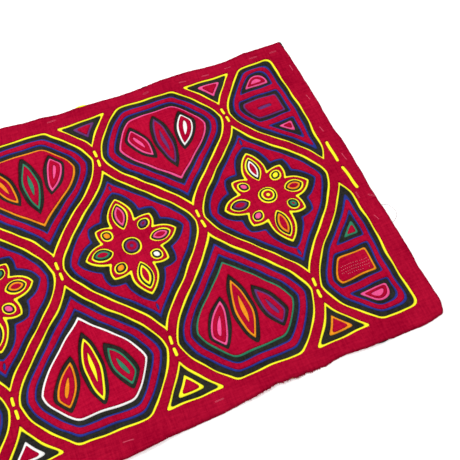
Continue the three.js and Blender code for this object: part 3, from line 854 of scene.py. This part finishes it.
# the red cloth's painted shade: along its cut edges, and broader along the panel's rim
rimPaintedShade = paintedShadeAmounts["rim"] * np.exp(-(topOutline(*topSheet[0][:, :2].T) / paintedShadeAmounts["rimReach"]) ** 2)
topPaintedShade = np.maximum(paintedShadeAmounts["cloth"] * paintedShadeAt(redDepth, topSheet[0]), rimPaintedShade)
hemSheet = cutSheet(hemDepth, wholeBox, cloths["ground"], rings=(0.4,), grid=3.0, topZ=hemTop,
                    underZ=lambda x, y: -puffAt(x, y))
topCloth = layCloth("red_top_cloth", joined([topSheet, hemSheet]), "red", ["top_cloth"],
                    ["yellow_second_cloth"], np.append(topPaintedShade, np.zeros(len(hemSheet[0]))), hem["turned"])
print("top cloth:", len(topCloth.data.polygons), "faces")

# The window pieces: name, layer, dye, depth
layerOf = {"blue": "keyline", "edge": "keyline", "fill": "top", "top": "top"}


def surround(starts, gap):
    return lambda x, y, inward: np.minimum(inward - starts, -gap - flowerDepth(x, y))


def band(starts, ends):
    return lambda x, y, inward: np.minimum(inward - starts, ends - inward)


def island(starts, back=0.0):
    def depth(x, y, inward):
        leaves = np.maximum.reduce([fanLeaf(x, y, inward, leaf) for leaf in fanLeaves])
        return np.minimum(inward - starts, -leaves - back)
    return depth


def barred(starts, back):
    return lambda x, y, inward: np.minimum(inward - starts, -back - cornerDepth(y, inward))


def slitted(cloth):
    def depth(x, y, inward):
        slits = np.maximum.reduce([leafDepth(x, y, row) for row in blueSlits])
        return np.minimum(cloth(x, y, inward), -slits)
    return depth


pieceDepths = {
    "flower": {
        "blue": surround(step["blue"], flower["blueGap"]),
        "fill": slitted(surround(step["fill"], flower["fillGap"])),
        "edge": lambda x, y, inward: flowerDepth(x, y),
        "top": lambda x, y, inward: np.minimum(flowerDepth(x, y) - flower["topStarts"],
                                               -flowerOpenings(x, y)),
    },
    "fan": {
        "blue": band(step["blue"], step["blueEnds"]),
        "fill": band(step["fill"], step["fillEnds"]),
        "edge": island(step["island"], fan["edgeBack"]),
        "top": island(step["islandTop"]),
    },
    "corner": {
        "blue": barred(step["blue"], 0.0),
        "fill": barred(step["fill"], cornerWindow["blueShows"]),
    },
    "wedge": {
        "edge": lambda x, y, inward: inward - step["blue"],
        "top": lambda x, y, inward: inward - step["fill"],
    },
}
pieceDyes = {"blue": "blue", "fill": "innerRed", "top": "innerRed"}
redEdges = []                   # every turned red edge inside a window, for the stitches
for name, fills, cellX, cellY, dye in windows:
    cellBox = ((cellX - lattice["halfX"], max(cellY - lattice["halfY"], -field["halfY"] - 2)),
               (cellX + lattice["halfX"], min(cellY + lattice["halfY"], field["halfY"] + 2)))
    for phase, (piece, local) in enumerate(pieceDepths[fills].items()):
        layer = cloths[layerOf[piece]]
        depth = worked(local, cellX, cellY, cutWander["piecePhase"] * phase)
        rings = (0.28, 0.7) if layer is cloths["keyline"] else (0.28, 0.7, 1.5)
        sheet = cutSheet(depth, cellBox, layer, pitch=0.7, rings=rings, grid=3.5)
        rests = ["ground_black_cloth"] if layer is cloths["keyline"] else [lowest]
        # each window piece gets shade painted along its turned edges
        made = layCloth(f"{name}_{piece}_cloth", sheet, pieceDyes.get(piece, dye), [f"{name}_{piece}"],
                        rests, paintedShadeAmounts["cloth"] * paintedShadeAt(depth, sheet[0]))
        if layer is cloths["keyline"]:
            lowest = made.name
        else:
            redEdges.append((depth, cellBox))
print("window pieces:", len(redEdges), "red pieces on their keyline cloths")


# The small scraps of cloth sewn into the openings, and the slits in their red cores
def deepest(depth, box, pitch=0.5):
    low, high = box
    gridX, gridY = np.meshgrid(np.arange(low[0], high[0], pitch), np.arange(low[1], high[1], pitch))
    return float(depth(gridX, gridY).max())


def fillOpening(opening, box, base, colour, plain=False):
    most = deepest(opening, box)
    for phase, (kind, starts) in enumerate(scraps[base]):
        if most - starts < scraps["smallest"]:
            return
        slitFrom = most - scraps["slit"]
        cut = kind == "core" and slitFrom - starts > scraps["slitRoom"] and not plain

        def depth(x, y):
            inside = opening(x, y) + cutWander["scrap"] * handCut(x, y, cutWander["scrapPhase"] * phase)
            return np.minimum(inside - starts, slitFrom - inside) if cut else inside - starts
        points, faces = cutSheet(depth, box, scrapLayers[base, kind], spacing=0.9, pitch=0.45,
                                 rings=(0.25, 0.6), grid=2.5)
        dye = {"black": "black", "core": "innerRed"}.get(kind, colour)
        # each scrap keeps the shade painted along its turned edges
        scrapParts.setdefault(dye, []).append((points, faces, paintedShadeAmounts["cloth"] * paintedShadeAt(depth, points)))


def boxAround(cellX, cellY, x, y, reach):
    side = -1 if cellY < 0 else 1
    return ((cellX + x - reach, cellY + y * side - reach), (cellX + x + reach, cellY + y * side + reach))


def oneLeaf(leaf):
    return lambda x, y, inward: leafDepth(x, y, leaf)


def oneFanLeaf(leaf):
    return lambda x, y, inward: fanLeaf(x, y, inward, leaf)


def oneBay(low, high):
    return lambda x, y, inward: np.minimum(cornerDepth(y, inward), np.minimum(y - low, high - y))


def scrapColour(k):
    return scraps["colours"][k % len(scraps["colours"])]


# The openings in each kind of window: depth, middle, how far to look round it, which colour
rails = (-90, *cornerWindow["bars"], 90)
openings = {
    "flower": [(oneLeaf(leaf), leaf[:2], "petal", 3 * k) for k, leaf in enumerate(petalWindows)],
    "fan": [(oneFanLeaf(leaf), leaf[:2], "leaf", 3 * k) for k, leaf in enumerate(fanLeaves)],
    "corner": [(oneBay(rails[k], rails[k + 1]), (0, 0), "bay", 3 * k + 1) for k in range(3)],
    "wedge": [],
}
openings["flower"].append((lambda x, y, inward: flowerMiddle(x, y), (0, 0), "middle", 3))
scrapParts = {}
for n, (name, fills, cellX, cellY, _) in enumerate(windows):
    base = "onFlower" if fills == "flower" else "onGround"
    for k, (local, middle, reach, colour) in enumerate(openings[fills]):
        opening = worked(local, cellX, cellY)
        box = boxAround(cellX, cellY, *middle, scraps["lookRound"][reach])
        plain = (name, k) == (dotted["window"], dotted["bay"])
        fillOpening(opening, box, base, scrapColour(n + colour), plain)
        if plain:
            dottedBay, dottedCell = opening, (cellX, cellY)

scrapPieces = []
for dye, parts in scrapParts.items():
    points, faces = joined([part[:2] for part in parts])
    scrapPieces.append(meshObject(f"scraps_{dye}", points, faces, clothLooks[dye],
                                  paintedEdgeShade=np.concatenate([part[2] for part in parts])))
print("scraps:", sum(len(parts) for parts in scrapParts.values()), "in", len(scrapPieces), "colours")

# Sewing: short threads as thin tubes that taper at both ends
sewing = {
    "blindApart": 3.2, "blindThread": 0.10, "blindStray": 0.12,
    "tackThread": 0.19, "tackLift": 0.14, "tackApart": 0.35, "tackBow": 0.35, "dotThread": 0.19,
    "frayThread": 0.10, "frays": 240, "rawFrays": 420,
    "loopThread": 0.16,
}
threadColours = {
    "tack": (0.66, 0.060, 0.130),
    "dot": (0.80, 0.30, 0.36),
    "loop": (0.26, 0.19, 0.19),
}
# Tacking stitches left in the border: both ends, mm
tacks = [
    (121, 146, 129, 145), (145, 146, 152, 146), (172, 148, 181, 148), (193, 147, 201, 147),
    (205, 126, 205, 118), (203, 86, 204, 79), (198, 48, 199, 41), (203, 14, 204, 5),
    (195, -27, 195, -35), (203, -34, 208, -39),
    (198, -54, 200, -60), (98, 147, 106, 146), (62, 147, 69, 148), (-30, 150, -21, 150),
    (-96, 151, -88, 150),
    (-198, 40, -199, 32), (-199, -12, -198, -20), (-60, -150, -51, -151), (12, -149, 20, -149),
]
looseThread = [(209.2, -47.4, 1.2), (211.4, -47.8, 0.5), (215.1, -48.5, 0.2), (218.3, -55.7, 0.2),
               (217.4, -61.2, 0.2), (212.4, -65.3, 0.3), (209.0, -66.2, 0.9)]


def borderHeight(x, y):
    return cloths["top"]["under"] + cloths["top"]["thick"] + liftAt(x, y) + puffAt(x, y)


def threadTubes(paths, radius, sides=5, blunt=0.35):
    paths = np.asarray(paths, float)
    count, length = paths.shape[:2]
    along = np.gradient(paths, axis=1)
    along /= np.linalg.norm(along, axis=2, keepdims=True) + 1e-9
    aside = np.cross(along, (0.0, 0.0, 1.0))
    aside /= np.linalg.norm(aside, axis=2, keepdims=True) + 1e-9
    across = np.cross(aside, along)
    turn = 2 * np.pi * np.arange(sides) / sides
    fat = radius * np.minimum(1, blunt + 2.6 * np.sin(np.linspace(0, np.pi, length)))
    rim = (aside[:, :, None] * np.cos(turn)[:, None] + across[:, :, None] * np.sin(turn)[:, None])
    points = (paths[:, :, None] + fat[None, :, None, None] * rim).reshape(-1, 3)
    quads = []
    for k in range(length - 1):
        for j in range(sides):
            a, b = k * sides + j, k * sides + (j + 1) % sides
            quads += [(a, b, a + sides), (b, b + sides, a + sides)]
    last = (length - 1) * sides
    for j in range(1, sides - 1):
        quads += [(0, j + 1, j), (last, last + j, last + j + 1)]
    faces = np.array(quads)[None] + (np.arange(count) * length * sides)[:, None, None]
    return points, faces.reshape(-1, 3)


def threadMaterial(kind):
    make = nodeMaker(kind + "Thread")
    fibre = make.noise(make.add("TexCoord").outputs["Object"], 5200.0)
    ramp = make.add("ValToRGB", {"Fac": fibre})
    for end, share in zip(ramp.color_ramp.elements, (0.72, 1.18)):
        end.color = (*[min(1, c * share) for c in threadColours[kind]], 1)
    make.put(make.shader, {
        "Base Color": ramp.outputs["Color"],
        "Normal": make.bump(fibre, 0.7, 0.05),
        "Roughness": make.maths("ADD", make.maths("MULTIPLY", fibre, 0.2), 0.6),
        "Specular IOR Level": 0.2,
        "Sheen Weight": 0.15,
    })
    return make.material


def sewn(name, paths, thread, sides, material):
    points, faces = threadTubes(paths, sewing[thread + "Thread"], sides)
    piece = meshObject(name, points, faces, material)
    sewingPieces.append(piece)
    print(name, len(faces), "faces")


sewingPieces = []
beadHeight = {key: layer["under"] + layer["thick"] + 0.9 * layer["ridge"] for key, layer in cloths.items()}


def blindStitches(depth, box):
    # red thread over the turned edge into the cloth below
    upper, lower = beadHeight["top"], beadHeight["keyline"]
    rows = []
    for loop in outlines(depth, box, 0.9, sewing["blindApart"]):
        spot = loop + rng.normal(0, sewing["blindStray"], loop.shape)
        inwardX, inwardY = gradient(depth, spot[:, 0], spot[:, 1])
        size = np.maximum(np.hypot(inwardX, inwardY), 0.3)
        inward = np.column_stack([inwardX, inwardY]) / size[:, None]
        aside = inward[:, ::-1] * (1, -1)
        path = []
        for into, slant, height in ((0.62, 0.30, upper + 0.02), (0.30, 0.16, upper - 0.02),
                                    (0.02, 0.02, (upper + lower) / 2 + 0.10), (-0.20, -0.10, lower + 0.04)):
            at = spot + into * inward + slant * aside
            path.append(np.column_stack([at, riseAt(spot)[:, None] + height]))
        rows.append(np.stack(path, axis=1))
    return np.concatenate(rows)


rows = [blindStitches(depth, box)
        for depth, box in [(lambda x, y: -openingDepth(x, y), wholeBox)] + redEdges]
sewn("blind_stitches", np.concatenate(rows), "blind", 4, clothLooks["innerRed"])

paths = []
for x0, y0, x1, y1 in tacks:
    for offset in (-sewing["tackApart"], sewing["tackApart"]):
        t = np.linspace(0, 1, 9)
        bow = sewing["tackBow"] * np.sin(np.pi * t) * rng.normal(0, 0.7)
        length = math.hypot(x1 - x0, y1 - y0)
        x = x0 + (x1 - x0) * t - (y1 - y0) / length * (bow + offset)
        y = y0 + (y1 - y0) * t + (x1 - x0) / length * (bow + offset)
        z = borderHeight(x, y) + sewing["tackLift"] * np.minimum(1, 4 * np.sin(np.pi * t)) - 0.1
        paths.append(np.column_stack([x, y, z]))
sewn("tacking_stitches", paths, "tack", 6, threadMaterial("tack"))

# Rows of tiny decorative stitches in one of the corner fillers
cellX, cellY = dottedCell
box = ((cellX + dotted["left"], cellY - dotted["upDown"]),
       (cellX + dotted["right"], cellY + dotted["upDown"]))
gridX, gridY = staggered(box, dotted["apart"], dotted["rows"])
gridY = gridY + 0.35 * np.sin(gridX / 4.0)
spot = np.column_stack([gridX.ravel(), gridY.ravel()]) + rng.normal(0, 0.14, (gridX.size, 2))
core = scraps["onGround"][1][1] + dotted["margin"]
inBand = np.abs(spot[:, 1] - (cellY + dotted["bandUp"])) < dotted["band"]
spot = spot[(dottedBay(*spot.T) > core) & inBand]
coreTop = scrapLayers["onGround", "core"]
height = coreTop["under"] + coreTop["thick"] + liftAt(*spot.T) + puffAt(*spot.T)
t = np.linspace(-0.5, 0.5, 5)
slant = rng.normal(0.15, 0.12, len(spot))
paths = np.stack([np.column_stack([spot[:, 0] + k * dotted["long"], spot[:, 1] + k * dotted["long"] * slant,
                                   height + 0.14 - 0.9 * k * k]) for k in t], axis=1)
sewn("dotted_stitches", paths, "dot", 6, threadMaterial("dot"))

# Frayed ends of the weave along the outline, thickest where the hem was left raw
outline = np.vstack(outlines(topOutline, wholeBox, 1.0, 0.3))
rough = roughness(*outline.T) - 1
favour = rough ** 1.5 / (rough ** 1.5).sum()
chosen = np.concatenate([rng.choice(len(outline), sewing["frays"]),
                         rng.choice(len(outline), sewing["rawFrays"], p=favour)])
start, wild = outline[chosen], np.minimum(rough[chosen], 2)
outX, outY = gradient(topOutline, *start.T)
outward = -np.column_stack([outX, outY]) / np.hypot(outX, outY)[:, None]
lean = rng.normal(0, 0.55, len(start))
aside = outward[:, ::-1] * (1, -1)
way = outward * np.cos(lean)[:, None] + aside * np.sin(lean)[:, None]
curl = rng.normal(0, 0.45, len(start))[:, None]
long = ((0.35 + 0.45 * wild) * rng.uniform(0.5, 1.5, len(start)))[:, None]
droop = rng.uniform(0.15, 0.7, len(start))
paths = []
for t in np.linspace(0, 1, 5):
    at = start - 0.35 * outward + way * long * t + aside * curl * t * t * long
    z = 0.25 + droop * (1 - t) + 0.35 * t * rng.uniform(0, 1, len(start)) + liftAt(*at.T)
    paths.append(np.column_stack([at, z]))
sewn("frayed_ends", np.stack(paths, axis=1), "fray", 4, clothLooks["red"])

knots = np.array(looseThread)
t = np.linspace(0, len(knots) - 1, 60)
smooth = np.column_stack([np.interp(t, np.arange(len(knots)), knots[:, k]) for k in range(3)])
for _ in range(12):
    smooth[1:-1] = (smooth[:-2] + 2 * smooth[1:-1] + smooth[2:]) / 4
sewn("loose_thread", smooth[None], "loop", 6, threadMaterial("loop"))

# Floor and soft studio light
studio = {
    "floor": (0.99, 0.99, 0.99), "floorGlow": 0.22, "floorRough": 0.9, "floorShine": 0.1, "sky": 0.75,
    "key": {"place": (-0.55, 0.75, 1.25), "size": 0.7, "watts": 9 * 1.38},
    "fill": {"place": (0.9, -0.8, 1.3), "size": 1.4, "watts": 9 * 0.44},
}
floorMesh = bpy.data.meshes.new("floor")
floorMesh.from_pydata([(-4, -4, 0), (4, -4, 0), (4, 4, 0), (-4, 4, 0)], [], [(0, 1, 2, 3)])
floorPiece = linked("floor", floorMesh)
paper = nodeMaker("whitePaper")
grain = paper.noise(paper.add("TexCoord").outputs["Object"], 300.0)
paper.put(paper.shader, {
    "Normal": paper.bump(grain, 0.1, 0.1),
    "Base Color": (*studio["floor"], 1),
    "Roughness": studio["floorRough"],
    "Specular IOR Level": studio["floorShine"],
    "Emission Color": (1, 1, 1, 1),
    "Emission Strength": studio["floorGlow"],
})
floorMesh.materials.append(paper.material)

world = bpy.data.worlds.new("studio")
world.use_nodes = True
sky = world.node_tree.nodes["Background"].inputs
sky["Color"].default_value = (1, 1, 1, 1)
sky["Strength"].default_value = studio["sky"]
bpy.context.scene.world = world
bpy.context.scene.view_settings.view_transform = "Standard"


def softBox(name, place, size, watts):      # a soft round light that faces the panel's middle
    light = bpy.data.lights.new(name, "AREA")
    light.shape = "DISK"
    light.size = size
    light.energy = watts
    lamp = linked(name, light)
    lamp.location = place
    lamp.rotation_euler = (-Vector(place)).to_track_quat("-Z", "Y").to_euler()


softBox("keyLight", **studio["key"])
softBox("fillLight", **studio["fill"])
print("studio ready")

# Rings whose cut area is less than leastShare of their rectangle go on one list with the scraps and the
# sewing. Rings narrower than leastShare can't be given as sheets at their real area: they go with the
# ground cloth that they are sewn to
sewnOn = scrapPieces + sewingPieces
for piece, flat, area, rests in laid[1:]:
    if area < leastShare * flat[0] * flat[1]:
        sewnOn.append(piece)
